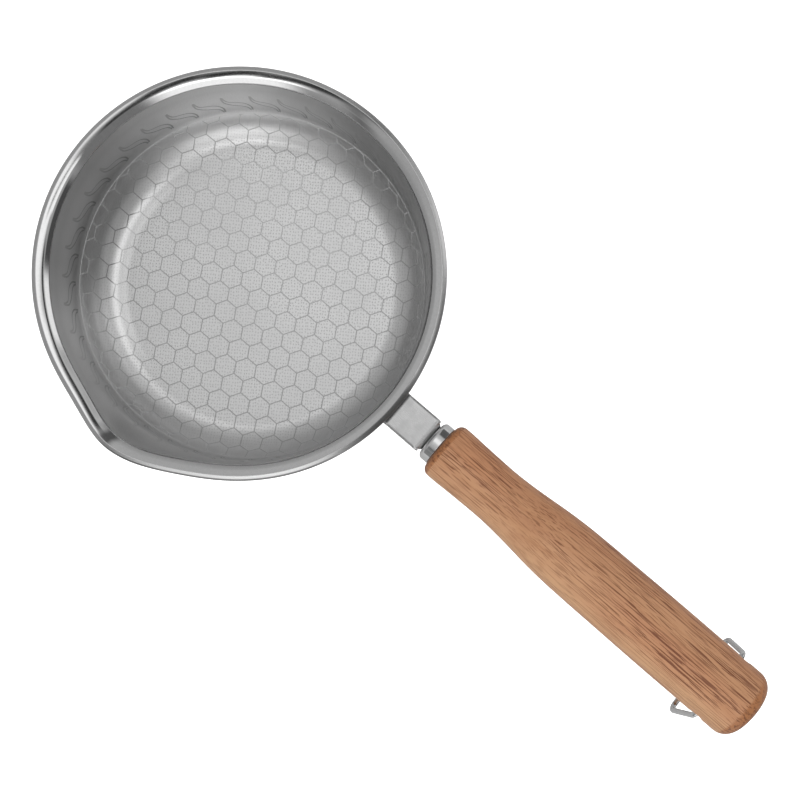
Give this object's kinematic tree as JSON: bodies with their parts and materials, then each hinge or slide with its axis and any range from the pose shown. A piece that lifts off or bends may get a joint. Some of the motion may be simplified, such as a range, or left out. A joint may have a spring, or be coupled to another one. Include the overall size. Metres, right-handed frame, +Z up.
{
  "type": "frying pan",
  "caption": "Small deep frying pan in stainless steel with a honeycomb-etched inside, a flared lip with a pouring spout, a turned wooden handle and a swinging wire hanging loop.",
  "frame": {"origin": "centre of the base's underside, which stands on the hob", "axes": "+Z up, +X from the bowl towards the handle's end, the spout on the -Y side"},
  "size_m": [0.3362, 0.1641, 0.075],
  "materials": {
    "bowl_steel": "polished lip and outside, satin inside with an etched honeycomb",
    "core_aluminium": "bare",
    "cap_steel": "spun, with fine turning rings",
    "bracket_steel": "satin pressing",
    "bolt_steel": "plated",
    "washer_steel": "plated spring steel",
    "ferrule_steel": "polished",
    "insert_brass": "turned",
    "handle_wood": "reddish hardwood, thin satin varnish",
    "loop_steel": "bright drawn wire"
  },
  "bodies": {
    "pan": {"pan_bowl": "bowl_steel", "base_core": "core_aluminium", "base_cap": "cap_steel", "handle_bracket": "bracket_steel", "handle_bolt": "bolt_steel", "spring_washer": "washer_steel", "ferrule": "ferrule_steel", "threaded_insert": "insert_brass", "wood_handle": "handle_wood"},
    "loop": {"hanging_loop": "loop_steel"}
  },
  "joints": [
    {"name": "loop_swing", "type": "hinge", "parent": "pan", "child": "loop", "pos_m": [0.24131, 0, 0.06005], "axis": [0, -1, 0], "range_deg": [-42, 233]}
  ]
}
